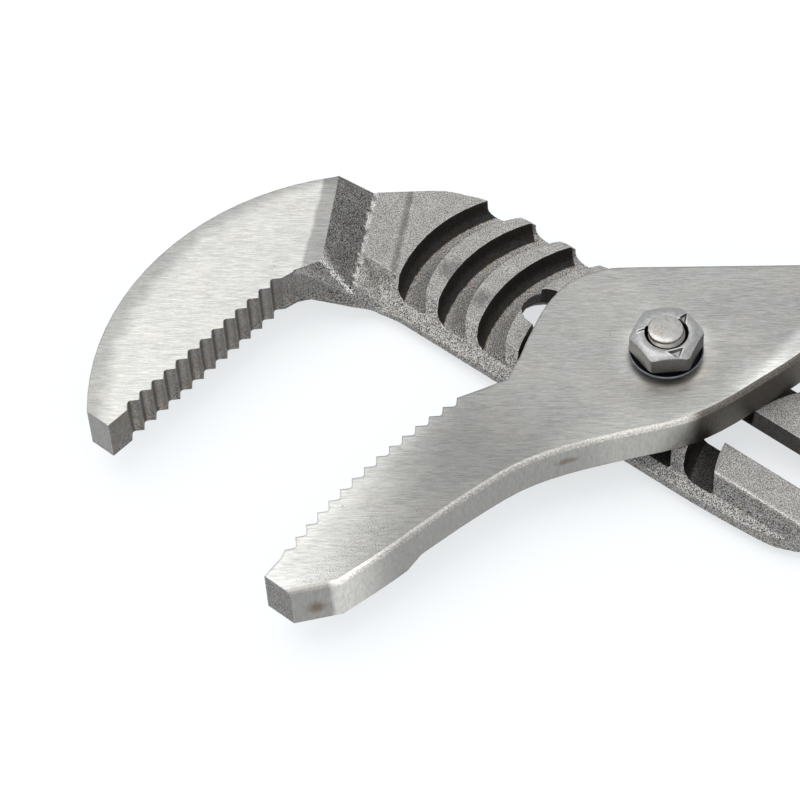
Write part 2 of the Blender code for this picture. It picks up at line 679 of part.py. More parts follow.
def build_nut(parts, cutters):
    """Hexagon nut with chamfered corners, staked on its top in three places."""
    corner = NUT_ACROSS_FLATS / math.sqrt(3)
    nut = slab("pivot_nut", ring_of(6, corner, Vector()), NUT_LOW, NUT_TOP, parts, "nut_steel")
    run, drop = NUT_CHAMFER_RUN, NUT_CHAMFER_DROP
    rounded = (
        (0, NUT_TOP + drop),
        (corner - 2 * run, NUT_TOP + drop),
        (corner + run, NUT_TOP - 2 * drop),
        (corner + run, NUT_LOW + 2 * drop),
        (corner - 2 * run, NUT_LOW - drop),
        (0, NUT_LOW - drop),
    )
    combine(nut, turned("nut_chamfer", rounded, cutters), "INTERSECT")
    high = NUT_TOP + OVERRUN
    low = NUT_LOW - OVERRUN
    bore = turned("nut_bore", ((0, high), (NUT_BORE, high), (NUT_BORE, low), (0, low)), cutters)
    combine(nut, bore, "DIFFERENCE")
    for index, angle in enumerate(STAKE_ANGLES):
        centre = Vector((math.cos(angle), math.sin(angle), 0)) * STAKE_RING
        outline = ring_of(3, STAKE_SIZE, centre, angle)
        stake = slab(f"stake_{index + 1}", outline, NUT_TOP - STAKE_DEPTH, high, cutters)
        combine(nut, stake, "DIFFERENCE")


def main():
    clear_scene()
    parts = new_collection("water_pump_pliers")
    cutters = new_collection("cutters")
    build_groove_half(parts, cutters)
    build_tongue_half(parts, cutters)
    build_bolt(parts)
    build_washer(parts)
    build_nut(parts, cutters)
    build_grip("groove_half_grip", groove_middle, "lower_vinyl", parts, cutters)
    build_grip("tongue_half_grip", tongue_middle, "upper_vinyl", parts, cutters)


main()
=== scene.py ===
"""Water pump pliers lying open on a white table.

Two forged halves slide and turn on one bolt: ground jaws, a rough shank with arc channels,
a staked nut on a black spring washer, and dipped vinyl on both handles.
"""
import math
from functools import reduce

import bmesh
import bpy
from mathutils import Matrix, Vector


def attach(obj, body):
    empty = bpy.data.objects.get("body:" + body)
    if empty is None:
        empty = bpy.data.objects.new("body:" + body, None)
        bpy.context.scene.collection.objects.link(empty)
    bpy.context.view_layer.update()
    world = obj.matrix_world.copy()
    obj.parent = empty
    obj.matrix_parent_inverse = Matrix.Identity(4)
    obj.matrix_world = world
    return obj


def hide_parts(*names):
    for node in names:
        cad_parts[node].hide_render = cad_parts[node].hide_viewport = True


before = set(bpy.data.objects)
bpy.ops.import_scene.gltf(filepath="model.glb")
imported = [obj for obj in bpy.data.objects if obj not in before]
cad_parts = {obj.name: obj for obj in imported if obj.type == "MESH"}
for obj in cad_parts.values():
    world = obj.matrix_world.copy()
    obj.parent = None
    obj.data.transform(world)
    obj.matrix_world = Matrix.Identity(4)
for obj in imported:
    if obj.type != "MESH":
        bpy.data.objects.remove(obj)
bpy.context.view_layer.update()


# Viewpoint
# From in front of the bolt and well above it, through a long lens rolled a little, so that the
# jaws fill the picture and the handles run out of it on the right.
LOOK_DOWN = math.radians(52.33)
ROLL = math.radians(-4.4)
EYE = Vector((-0.0773, -0.6218, 0.8216))
LENS = 157.8
SENSOR = 36

forward = Vector((0, math.cos(LOOK_DOWN), -math.sin(LOOK_DOWN)))
level = Vector((1, 0, 0))
steep = forward.cross(level)
image_right = level * math.cos(ROLL) - steep * math.sin(ROLL)
image_up = -(level * math.sin(ROLL) + steep * math.cos(ROLL))
lens = bpy.data.cameras.new("viewpoint")
lens.sensor_width = SENSOR
lens.lens = LENS
viewpoint = bpy.data.objects.new("viewpoint", lens)
bpy.context.scene.collection.objects.link(viewpoint)
viewpoint.matrix_world = Matrix((
    (image_right.x, image_up.x, -forward.x, EYE.x),
    (image_right.y, image_up.y, -forward.y, EYE.y),
    (image_right.z, image_up.z, -forward.z, EYE.z),
    (0, 0, 0, 1),
))
bpy.context.scene.camera = viewpoint
bpy.context.scene.view_settings.view_transform = "Standard"


# White table and light tent
# A white sheet lies under the pliers, with painted shadow that makes it a little darker close to the
# metal, and white cloth hangs all round. One broad lamp is above and behind and a weaker one in
# front, so the shadows are short, faint and a little blue.
TABLE_SIZE = 8.0
TABLE_DROP = 0.00005
TABLE_WHITE = (0.95, 0.955, 0.965)
TABLE_GLOW = 0.84
TABLE_GLOW_TINT = (0.995, 1.022, 1.042)
SHADE_REACH = 0.035
SHADE_DEPTH = 0.25
TENT_LIGHT = 0.76
TENT_TINT = (0.97, 0.99, 1.02)
WHITE = (1, 1, 1)
LAMPS = (
    ("lamp_above", (-0.42, 0.2, 1.5), 1.3, 11.0, (1.02, 1.0, 0.97)),
    ("lamp_in_front", (0.5, -1.1, 1.3), 0.9, 2.5, WHITE),
)


def is_number(value):
    """True for one number, and False for a colour, a place or a direction."""
    if isinstance(value, Wire):
        return value.socket.type == "VALUE"
    return isinstance(value, (int, float))


class Wire:
    """A value in a shader. Arithmetic on it adds the nodes that work it out."""

    def __init__(self, tree, socket=None):
        self.tree = tree
        self.socket = socket

    def plug(self, target, value):
        """Links a wire to a socket, or sets the socket to a plain value."""
        if isinstance(value, Wire):
            self.tree.links.new(value.socket, target)
        elif target.type == "RGBA":
            target.default_value = (*value, 1)
        elif target.type == "VECTOR" and is_number(value):
            target.default_value = (value, value, value)
        else:
            target.default_value = value

    def node(self, kind, values=None, output=0, **settings):
        """Adds a node: its settings first, then the value or wire of each socket named."""
        made = self.tree.nodes.new(kind)
        for name, setting in settings.items():
            setattr(made, name, setting)
        for name, value in (values or {}).items():
            self.plug(made.inputs[name], value)
        return Wire(self.tree, made.outputs[output]) if made.outputs else None

    def worked(self, operation, *values, output=0):
        """Math on numbers, or Vector Math where a value is a colour, a place or a direction."""
        kind = "ShaderNodeMath" if all(map(is_number, values)) else "ShaderNodeVectorMath"
        return self.node(kind, dict(enumerate(values)), output, operation=operation)

    def __add__(self, other):
        return self.worked("ADD", self, other)

    def __radd__(self, other):
        return self.worked("ADD", other, self)

    def __sub__(self, other):
        return self.worked("SUBTRACT", self, other)

    def __rsub__(self, other):
        return self.worked("SUBTRACT", other, self)

    def __mul__(self, other):
        return self.worked("MULTIPLY", self, other)

    def __rmul__(self, other):
        return self.worked("MULTIPLY", other, self)

    def __truediv__(self, other):
        return self.worked("DIVIDE", self, other)

    def __pow__(self, other):
        return self.worked("POWER", self, other)

    def size(self):
        return self.worked("ABSOLUTE", self)

    def fraction(self):
        return self.worked("FRACT", self)

    def larger(self, other):
        return self.worked("MAXIMUM", self, other)

    def smaller(self, other):
        return self.worked("MINIMUM", self, other)

    def dot(self, direction):
        return self.worked("DOT_PRODUCT", self, direction, output="Value")

    def away_from(self, point):
        return self.worked("DISTANCE", self, point, output="Value")

    def sway(self, reach):
        """An uneven value centred on 0, so that what it is added to wanders to both sides."""
        return (self - 0.5) * reach

    def between(self, low, high):
        """0 up to low, 1 from high on and smooth between; it falls instead where low is above high."""
        values = {"Value": self, "From Min": low, "From Max": high}
        return self.node("ShaderNodeMapRange", values, interpolation_type="SMOOTHSTEP")

    def choose(self, off, on):
        """What is off where this mask is 0, and what is on where it is 1."""
        if is_number(off) and is_number(on):
            return self.node("ShaderNodeMix", {0: self, 2: off, 3: on}, data_type="FLOAT")
        return self.node("ShaderNodeMix", {0: self, 6: off, 7: on}, output=2, data_type="RGBA")

    def grain(self, size, stretch=(1, 1, 1), detail=2.0, rough=0.5):
        """Uneven patches of about that size in millimetres, drawn out along an axis by a stretch."""
        finer = tuple(1 / (size * along) for along in stretch)
        values = {"Vector": self * finer, "Scale": 1.0, "Detail": detail, "Roughness": rough}
        return self.node("ShaderNodeTexNoise", values)


def new_surface(name):
    """A material with no nodes yet, and the wire from which its nodes are made."""
    made = bpy.data.materials.new(name)
    made.use_nodes = True
    made.node_tree.nodes.clear()
    return made, Wire(made.node_tree)


def seen(surface):
    """1 where the camera sees a surface, straight or in metal or glass, and 0 for its light."""
    rays = ("Is Camera Ray", "Is Glossy Ray", "Is Transmission Ray")
    return reduce(Wire.larger, [surface.node("ShaderNodeLightPath", output=ray) for ray in rays])


sheet_white, surface = new_surface("sheet_white")
lit = surface.node("ShaderNodeBsdfDiffuse", {"Color": TABLE_WHITE})
glow = surface.node("ShaderNodeEmission", {"Color": TABLE_GLOW_TINT, "Strength": 1.0})
opening = surface.node("ShaderNodeAmbientOcclusion", {"Distance": SHADE_REACH}, output="AO", samples=8)
# Painted shadow: close to the metal the glow's share falls, so the sheet is painted darker there.
share = TABLE_GLOW * (1 - SHADE_DEPTH * opening.between(0.95, 0.3))
mixed = surface.node("ShaderNodeMixShader", {0: seen(surface) * share, 1: lit, 2: glow})
surface.node("ShaderNodeOutputMaterial", {"Surface": mixed})

sheet = bpy.data.meshes.new("white_sheet")
half = TABLE_SIZE / 2
sheet.from_pydata(
    [(x, y, -TABLE_DROP) for x, y in ((-half, -half), (half, -half), (half, half), (-half, half))],
    [],
    [(0, 1, 2, 3)],
)
sheet.materials.append(sheet_white)
table = bpy.data.objects.new("white_sheet", sheet)
bpy.context.scene.collection.objects.link(table)

tent = bpy.data.worlds.new("light_tent")
tent.use_nodes = True
tent.node_tree.nodes.clear()
sky = Wire(tent.node_tree)
cloth = sky.node("ShaderNodeBackground", {"Color": TENT_TINT, "Strength": TENT_LIGHT})
white = sky.node("ShaderNodeBackground", {"Color": WHITE, "Strength": 1.0})
mixed = sky.node("ShaderNodeMixShader", {0: seen(sky), 1: cloth, 2: white})
sky.node("ShaderNodeOutputWorld", {"Surface": mixed})
bpy.context.scene.world = tent

for name, place, size, power, tint in LAMPS:
    lamp = bpy.data.lights.new(name, "AREA")
    lamp.shape = "SQUARE"
    lamp.size = size
    lamp.energy = power
    lamp.color = tint
    holder = bpy.data.objects.new(name, lamp)
    holder.location = place
    holder.rotation_euler = Vector(place).to_track_quat("Z", "Y").to_euler()
    bpy.context.scene.collection.objects.link(holder)


# Groove half
# A steel forging, left rough from the die and the blast: the upper jaw, the long shank with its
# slot and eight arc channels, and the lower handle's core. Only the jaw's top is ground bright.
MM = 0.001
UP = Vector((0, 0, 1))
TO_HANDLES = Vector((1, 0, 0))
TO_BACK = Vector((0, 1, 0))
SLOT_ANGLE = math.radians(-43.65)
ALONG = Vector((math.cos(SLOT_ANGLE), math.sin(SLOT_ANGLE), 0))
ACROSS = Vector((-math.sin(SLOT_ANGLE), math.cos(SLOT_ANGLE), 0))
SLOT_END = -44.6
SLOT_WAIST = 5
SLOT_REACH = 7.6
SLOT_REACH_BELOW = 11.8
CHANNEL_PITCH = 15.29
CHANNEL_RADIUS = 44.4
CHANNEL_WIDTH = 9.4
CHANNEL_REACH = 22.5
CHANNEL_FLOOR = 9.0
CHANNEL_LIP = 2
CHANNEL_CENTRES = [(step - 3) * CHANNEL_PITCH for step in range(8)]
SHANK_TOP = 15.5
JAW_TOP = 27.3
JAW_NOSE = -110.5
TOOTH_PITCH = 4.95
TOOTH_LINE = -111.9
TOOTH_CREST = -110.7
UPPER_TEETH = (-112.6, -105.0, -111.2, -46)
UPPER_GULLET = 0.9
GULLET_TURN = math.radians(-40)
SMOOTH_BELOW = math.radians(28)
LEVEL = 0.99
UPRIGHT = 0.3
SLOPING = 0.5

STEEL_TINT = (1.0, 0.99, 0.965)
BROWN_TINT = (1.0, 0.8, 0.62)
WALL_TONE = 0.038
FLOOR_TONE = 0.215
FACET_SHADE_TONE = 0.195
THROAT_TONE = 0.26

# Each finish is a material, then a tone, a coarseness, a brownness, and 1 inside a channel.
FACE_MARKS = ("tone", "coarse", "brown", "channel")
FORGED = 0
GROUND = 1
GROUND_TOP = (GROUND, 0, 0, 0, 0)
LAND = (FORGED, 0.35, 1.0, 0.1, 0)
CHAMFER = (FORGED, 0.42, 1.1, 0.2, 0)
FAR_CHAMFER = (FORGED, 0.27, 1.1, 0.2, 0)
SIDE = (FORGED, 0.29, 1.0, 0.3, 0)
INNER_SIDE = (FORGED, 0.23, 1.0, 0.3, 0)
UPPER_TOOTH = (FORGED, 0.2, 0.6, 0.6, 0)
UPPER_NOSE = (FORGED, 0.32, 0.25, 0.1, 0)
CHANNEL = (FORGED, WALL_TONE, 1.35, 0.8, 1)
SLOT_SIDE = (FORGED, 0.09, 0.6, 0.5, 0)
SLOT_END_WALL = (FORGED, 0.035, 0.6, 0.5, 0)


def add_piece(name, solid, node, body, materials):
    """Makes a piece of a solid, smooth across its curves, to show in place of a plain node."""
    for edge in solid.edges:
        edge.smooth = edge.is_manifold and edge.calc_face_angle() < SMOOTH_BELOW
    for face in solid.faces:
        face.smooth = True
    mesh = bpy.data.meshes.new(name)
    solid.to_mesh(mesh)
    solid.free()
    for material in materials:
        mesh.materials.append(material)
    piece = bpy.data.objects.new(name, mesh)
    bpy.context.scene.collection.objects.link(piece)
    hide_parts(node)
    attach(piece, body)


def plain_solid(node):
    """A node's plain solid, with its corners joined and its flat faces made whole."""
    solid = bmesh.new()
    solid.from_mesh(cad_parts[node].data)
    bmesh.ops.remove_doubles(solid, verts=solid.verts, dist=0.001 * MM)
    bmesh.ops.dissolve_limit(solid, angle_limit=math.radians(0.3), verts=solid.verts, edges=solid.edges)
    return solid


def mark_faces(solid, finish_of):
    """Gives each face the material and the finish that its middle and its facing call for."""
    layers = [solid.faces.layers.float.new(name) for name in FACE_MARKS]
    for face in solid.faces:
        middle = face.calc_center_median() / MM
        face.material_index, *values = finish_of(middle, face.normal)
        for layer, value in zip(layers, values):
            face[layer] = value


def gullet_edges(solid, from_along, to_along, from_across, to_across):
    """The upright inward edges of a jaw's teeth, within limits along and across the slot."""
    edges = []
    for edge in solid.edges:
        ends = [vertex.co / MM for vertex in edge.verts]
        upright = abs(ends[0].z - ends[1].z) > 3
        along = ends[0].dot(ALONG)
        across = ends[0].dot(ACROSS)
        if upright and from_along < along < to_along and from_across < across < to_across:
            if edge.calc_face_angle_signed(0) < GULLET_TURN:
                edges.append(edge)
    return edges


def soften(solid, edges, width):
    """Rounds edges off for real, in three steps of that width in millimetres."""
    bmesh.ops.bevel(
        solid, geom=edges, offset=width * MM, offset_type="OFFSET", segments=3, profile=0.5,
        affect="EDGES", clamp_overlap=False,
    )
    bmesh.ops.dissolve_degenerate(solid, edges=solid.edges, dist=0.002 * MM)
    solid.normal_update()


def marked(surface, name):
    return surface.node("ShaderNodeAttribute", output="Fac", attribute_name=name)


def in_millimetres(surface):
    return surface.node("ShaderNodeTexCoord", output="Object") / MM


def facing_of(surface):
    return surface.node("ShaderNodeTexCoord", output="Normal")


def rounded_edge(surface, radius):
    """The facing, with every edge rounded off by that many millimetres."""
    return surface.node("ShaderNodeBevel", {"Radius": radius * MM}, samples=6)


def turn_of(surface, rounded):
    """How far a rounded edge turns the facing: 0 on a flat, and more on an edge."""
    return 1 - rounded.dot(surface.node("ShaderNodeNewGeometry", output="True Normal"))


def openness(surface, reach, alone=True):
    """1 on open faces and less in corners and gaps narrower than the reach, in millimetres."""
    values = {"Distance": reach * MM}
    return surface.node("ShaderNodeAmbientOcclusion", values, output="AO", samples=8, only_local=alone)


def dented(surface, height, depth, strength, facing):
    values = {"Strength": strength, "Distance": depth * MM, "Height": height, "Normal": facing}
    return surface.node("ShaderNodeBump", values)


def finish_surface(surface, colour, roughness, facing, metallic=1.0):
    values = {"Base Color": colour, "Roughness": roughness, "Metallic": metallic, "Normal": facing}
    shader = surface.node("ShaderNodeBsdfPrincipled", values)
    surface.node("ShaderNodeOutputMaterial", {"Surface": shader})


def blasted(surface, place, tone, coarse, brown):
    """Blasted forging: a coarse grain of light and dark crumbs, painted shade in corners, bright edges."""
    rounded = rounded_edge(surface, 0.7)
    open_face = openness(surface, 3.0)
    crumbs = place.grain(0.36, rough=0.7)
    clumps = place.grain(0.9)
    patches = place.grain(5.0, detail=3.0)
    stains = place.grain(2.2, detail=3.0)
    speckle = crumbs.between(0.41, 0.6) - 0.5 + clumps.sway(0.8)
    bright_edge = turn_of(surface, rounded).between(0.03, 0.2) * open_face.between(0.6, 0.95)
    shade = (1 + speckle * coarse) * (1 + patches.sway(0.45)) * (1 + 0.6 * bright_edge)
    # Painted shade: corners and gaps that ambient occlusion finds are darkened to half.
    grey = tone * shade * open_face.between(0.2, 0.8).choose(0.5, 1.0)
    colour = (brown * stains.between(0.4, 0.62)).choose(STEEL_TINT, BROWN_TINT) * grey
    roughness = 0.62 - 0.12 * bright_edge + crumbs.sway(0.2)
    normal = dented(surface, crumbs + clumps + patches * 1.5, 0.2, 0.9, rounded)
    finish_surface(surface, colour, roughness, normal, 0.85)


# What the forging shows beside its grain: a facet behind the ground jaw in painted shade, a throat,
# a bright ridge between them, a ragged flash line, a dark streak, two smudges, a steep face
# painted lighter against its shade and a painted highlight along the crown.
FACET_EDGE = (0.972, -0.2365, 0)
FACET_START = -97.0
RIDGE = (1.0, 0, 0.6)
RIDGE_START = -80.8
STREAK = (0.972, -0.234, 0)
STREAK_START = -85.8
CROWN_START = -17.4
SMUDGES = (((-58.5, 48.2, 15.5), 6.0, 2.0), ((-50.8, 36.0, 15.5), 4.5, 1.0))

groove_forged, surface = new_surface("groove_forged")
place = in_millimetres(surface)
facing = facing_of(surface)
upward = facing.dot(UP)
along = place.dot(ALONG)
across = place.dot(ACROSS)
height = place.dot(UP)
ragged = place.grain(2.5, detail=4.0, rough=0.6)
tone, coarse, brown, channel = [marked(surface, name) for name in FACE_MARKS]
sloped = upward.between(0.15, 0.3)
past_facet = place.dot(FACET_EDGE) - FACET_START + ragged.sway(5)
past_ridge = place.dot(RIDGE) - RIDGE_START + ragged.sway(2)
in_facet = past_facet.between(0.4, -0.4)
facet = in_facet * past_ridge.between(-0.4, 0.4) * sloped
throat = in_facet * past_ridge.between(0.4, -0.4) * sloped
low_facet_painted_light = facing.dot(TO_HANDLES).between(0.6, 0.7) * past_facet.between(-0.4, 0.4)
ridge = past_ridge.size().between(1.4, 0.2) * in_facet * sloped * across.between(-26, -29)
ragged_line = (past_facet - 0.9).size().between(1.0, 0.1) * ragged.between(0.42, 0.58) * sloped
streak = (place.dot(STREAK) - STREAK_START + ragged.sway(2)).size().between(1.6, 0.2)
streak = streak * across.between(-24, -14) * upward.between(0.9, 0.97)
smudges = sum(
    0.4 * (place.away_from(middle) + ragged.sway(6)).between(far, near) for middle, far, near in SMUDGES
)
margin = across.between(-16.5, -20.5) * height.between(16.5, 15.8)
# Painted highlight: a bright line along the shank's crown.
crown_highlight = (across - CROWN_START + ragged.sway(1)).size().between(1.3, 0.2)
crown_highlight = crown_highlight * along.between(22, 30) * height.between(14.5, 15.2)
# Painted shade: the facet gets a darker tone, and the steep low facet is painted lighter against its shade.
tone = facet.choose(tone, FACET_SHADE_TONE)
tone = throat.choose(tone, THROAT_TONE) * (1 + 0.5 * low_facet_painted_light)
tone = tone * (1 + 1.6 * ridge + 0.5 * ragged_line + 0.45 * crown_highlight) * (1 - 0.4 * streak) * (1 - smudges)
coarse = throat.choose(coarse, 1.5) + facet * 0.7 + margin * 0.5

# Inside the channels: near-black walls, dark from oxide and from painted shade, with rust at their
# foot, floors painted lighter beside the wall against its shade, painted shadow under the plate,
# and painted shade in a ring round the slot's end.
SLOT_END_SHADE_MIDDLE = (-31.9, 33.9, CHANNEL_FLOOR)
SLOT_END_SHADE_RADIUS = 7.9
WALL_FOOT = 3.0

arc = (CHANNEL_RADIUS ** 2 - across * across) ** 0.5
pitches = (along + arc + CHANNEL_LIP) / CHANNEL_PITCH
in_channel = pitches.fraction() * CHANNEL_PITCH - CHANNEL_LIP + ragged.sway(0.8)
on_wall = in_channel.between(WALL_FOOT, WALL_FOOT - 0.5)
rust_line = (in_channel - (WALL_FOOT + 0.1)).size().between(0.7, 0.1)
# Painted shadow: channels under the plate are darkened, and floors are painted lighter beside the wall.
under_plate_shadow = place.dot(TO_HANDLES).between(-13, -9)
floor_tone = FLOOR_TONE * (1 + 0.45 * in_channel.between(6.0, WALL_FOOT) + 0.35 * across.between(-8, 10))
floor_tone = floor_tone * (1 - 0.75 * under_plate_shadow)
tone = channel.choose(tone, on_wall.choose(floor_tone, WALL_TONE * (1 - 0.4 * under_plate_shadow)))
# Painted shade in a ring round the slot's end.
slot_end_shade = place.away_from(SLOT_END_SHADE_MIDDLE).between(SLOT_END_SHADE_RADIUS, SLOT_END_SHADE_RADIUS - 0.4) * height.between(10.4, 9.8)
tone = tone * (1 - 0.85 * slot_end_shade)
brown = channel.choose(brown, on_wall.choose(0.2 + 0.4 * rust_line, 0.8))
coarse = coarse * (1 - 0.45 * channel * on_wall)

# Between the teeth: a painted highlight on one flank of each, and painted shade in the gullet beside it.
phase = ((across - TOOTH_CREST) / TOOTH_PITCH).fraction()
flank_highlight = (phase - 0.72).size().between(0.2, 0.0)
gullet_shade = (phase - 0.5).size().between(0.12, 0.02)
toothed = upward.size().between(0.3, 0.2) * across.between(-47, -49) * along.between(-113.5, -112.5)
toothed = toothed * along.between(-104, -105.5) * across.between(-111.5, -110.5)
tone = tone * toothed.choose(1.0, 1 + 0.45 * flank_highlight - 0.45 * gullet_shade)
blasted(surface, place, tone, coarse, brown)

GROUND_TINT = (1.0, 1.01, 0.985)
BELT_TURN = math.radians(5.6)
SPECKS_PER_MM = 0.11


def finish_ground(surface, place, tone, edge, stain=0.0):
    """Ground steel of that tone: the belt's long streaks, blotches, a few dark specks, a stain."""
    values = {"Vector": place, "Angle": BELT_TURN}
    belt = surface.node("ShaderNodeVectorRotate", values, rotation_type="Z_AXIS")
    fine = belt.grain(0.17, stretch=(20, 1, 1), rough=0.7)
    broad = belt.grain(0.8, stretch=(9, 1, 1))
    grit = place.grain(0.3, stretch=(2, 1, 1), rough=0.7)
    blotch = place.grain(11.0, detail=3.0)
    cells = {"Vector": place * SPECKS_PER_MM, "Scale": 1.0}
    speck = surface.node("ShaderNodeTexVoronoi", cells, output="Distance").between(0.04, 0.02)
    streaks = 1 + fine.sway(1.45) + broad.sway(0.2) + blotch.sway(0.25) + grit.sway(0.4)
    grey = tone * streaks * (1 - 0.5 * speck)
    worn = blotch.between(0.5, 0.75) * 0.15 + stain
    colour = worn.choose(GROUND_TINT, BROWN_TINT) * grey
    normal = dented(surface, fine, 0.02, 0.5, rounded_edge(surface, edge))
    finish_surface(surface, colour, 0.43 + fine.sway(0.25), normal)


# The jaw's ground top, duller and scuffed outside the arc that the wheel reached, and duller in
# a strip along its straight end.
UPPER_JAW_TONE = 0.54
GRIND_MIDDLE = (-75.0, -8.5, JAW_TOP)
GRIND_RADIUS = 87.5
STRIP = (0.969, -0.245, 0)
STRIP_START = -110.9

upper_jaw_ground, surface = new_surface("upper_jaw_ground")
place = in_millimetres(surface)
soft = place.grain(9.0)
past_arc = place.away_from(GRIND_MIDDLE) - GRIND_RADIUS + soft.sway(6)
past_strip = place.dot(STRIP) - STRIP_START + soft.sway(2)
scuffed = place.grain(0.5, detail=3.0).sway(1) * past_arc.between(2.0, 6.0)
tone = UPPER_JAW_TONE * (1 - 0.36 * past_arc.between(-3.0, 3.0))
tone = tone * (1 - 0.4 * past_strip.between(-0.7, 0.7)) * (1 + 0.3 * scuffed)
finish_ground(surface, place, tone, 0.5)


def groove_finish(middle, facing):
    """The finish of a face of the groove half, from its middle and its facing."""
    along = middle.dot(ALONG)
    across = middle.dot(ACROSS)
    upright = abs(facing.z) < UPRIGHT
    sloping = UPRIGHT < facing.z < SLOPING
    inner = facing.dot(ALONG) > 0.1 or facing.dot(ACROSS) < -0.9
    if middle.z > JAW_TOP - 0.2 and facing.z > LEVEL:
        return GROUND_TOP
    from_slot = math.hypot(min(along - SLOT_END, 0), across)
    slot_reach = SLOT_REACH if middle.z > SLOT_WAIST else SLOT_REACH_BELOW
    if middle.z < SHANK_TOP and 4 < from_slot < slot_reach and facing.z < 0.8 and abs(facing.z) > 0.05:
        return SLOT_END_WALL if along < -30 else SLOT_SIDE
    for centre in CHANNEL_CENTRES:
        into = CHANNEL_RADIUS - math.hypot(along - centre, across)
        inside = along < centre and -0.7 < into < CHANNEL_WIDTH + 0.7 and abs(across) < CHANNEL_REACH
        below = CHANNEL_FLOOR - 0.1 < middle.z < SHANK_TOP - 0.1
        if inside and below and facing.z > -0.1 and not sloping:
            return CHANNEL
    if upright and across < JAW_NOSE and facing.dot(ACROSS) < -0.75:
        return UPPER_NOSE
    if upright and across < -45 and along > TOOTH_LINE and inner:
        return UPPER_TOOTH
    if upright:
        return INNER_SIDE if across < -30 and inner else SIDE
    if sloping and middle.z < SHANK_TOP:
        return FAR_CHAMFER if along > 15 else CHAMFER
    return LAND


solid = plain_solid("groove_half")
soften(solid, gullet_edges(solid, *UPPER_TEETH), UPPER_GULLET)
mark_faces(solid, groove_finish)
finishes = (groove_forged, upper_jaw_ground)
add_piece("groove_half_steel", solid, "groove_half", "groove_body", finishes)


# Tongue half
# The other forging: lower jaw, pivot plate and upper handle. Its whole top and the plate's rim
# are ground, and the tongue under the plate sits in one of the channels.
PLATE_TONE = 0.31
PLATE_CORNER = (33, -18, JAW_TOP)
ABOVE_BOLT = (0, 0, JAW_TOP)
JAW_OUTWARD = (-0.907, 0.42, 0)
JAW_SIDEWAYS = (0.42, 0.907, 0)
NOSE_STAIN = (-113.5, -53.5, JAW_TOP)
LOWER_TEETH = (-41.0, -33.0, -119.0, -45.0)
LOWER_GULLET = 0.8
LOWER_NOSE = -118
GRIND_END = 75
RIM = 2
RIM_END = 55
RIM_TONE = 0.34
RIM_ROUNDING = 1.8
ROUNDING_END = 50
DENT = (-104.8, -72.0, 18.5)
NOTCH = (-12.5, -12.35, 22.0)
NOTCH_STRETCH = (0.4, 0.4, 1)
GROUND_RIM = (RIM, 0, 0, 0, 0)
JAW_END = (FORGED, 0.255, 0.9, 0.2, 0)
LOWER_TOOTH = (FORGED, 0.2, 0.5, 0.5, 0)
CORE = (FORGED, 0.3, 0.9, 0.2, 0)

tongue_forged, surface = new_surface("tongue_forged")
tone, coarse, brown = [marked(surface, name) for name in FACE_MARKS[:3]]
blasted(surface, in_millimetres(surface), tone, coarse, brown)

plate_ground, surface = new_surface("plate_ground")
place = in_millimetres(surface)
soft = place.grain(12.0)
along = place.dot(ALONG)
across = place.dot(ACROSS)
outward = place.dot(JAW_OUTWARD) + soft.sway(8)
throat_side = outward.between(0.0, 25.0) * place.dot(JAW_SIDEWAYS).between(-15, -52)
jaw = outward.between(44.0, 76.0)
tooth_edge = along.between(-36.0, -40.0) * across.between(-46, -60)
slanted = along + (across * -0.5).larger(0.0)
heel = (slanted + soft.sway(2)).between(22.5, 26.0) * across.between(-19, -13)
corner = (place.away_from(PLATE_CORNER) + soft.sway(4)).between(21, 3)
back = place.dot(TO_BACK).between(10, 28)
from_bolt = place.away_from(ABOVE_BOLT)
under_nut = (from_bolt + soft.sway(3)).between(17.0, 10.5)
washer_shadow_lift = from_bolt.between(13.5, 11.0) * place.dot(-TO_BACK).between(2.0, 9.0)
front = place.dot((0.2, -1, 0)).between(3.0, 9.0)
pits = place.grain(0.42).between(0.56, 0.66) * (along + soft.sway(4)).between(-34, -29)
pits = pits * (across + soft.sway(12)).between(-90, -98)
nose_stain = place.away_from(NOSE_STAIN).between(7.0, 2.0) * 0.5
# Painted light: highlights by the jaw, the tooth edge, the heel, the corner and the back, light that lifts
# the shade round the nut and under the washer, and painted shade on the throat side.
glow = 0.95 * jaw + 0.2 * tooth_edge + 0.5 * heel + 1.1 * corner + 0.1 * back
glow = glow + 0.45 * under_nut + 0.8 * washer_shadow_lift
tone = PLATE_TONE * (1 - 0.33 * throat_side + glow)
finish_ground(surface, place, tone * (1 - 0.55 * pits), 1.0, under_nut * front * 0.3 + nose_stain)

rim_ground, surface = new_surface("rim_ground")
place = in_millimetres(surface)
waves = place.grain(0.7, stretch=(1, 1, 4), detail=3.0, rough=0.7)
soft = place.grain(9.0)
grit = place.grain(0.4, rough=0.7)
side = place.dot(TO_HANDLES)
dark_side = (side + soft.sway(4)).between(3.0, 8.0)
nose_highlight = (side + soft.sway(3)).between(-101.0, -99.0) * side.between(-80.0, -97.0)
dent = (place.away_from(DENT) + waves.sway(3)).between(3.8, 0.5)
notch = ((place * NOTCH_STRETCH).away_from(NOTCH) + waves.sway(1.5)).between(1.7, 0.6)
dents = 0.7 * dent + 0.55 * notch
turning = facing_of(surface).dot(UP).between(0.1, 0.7) * side.between(-104, -92)
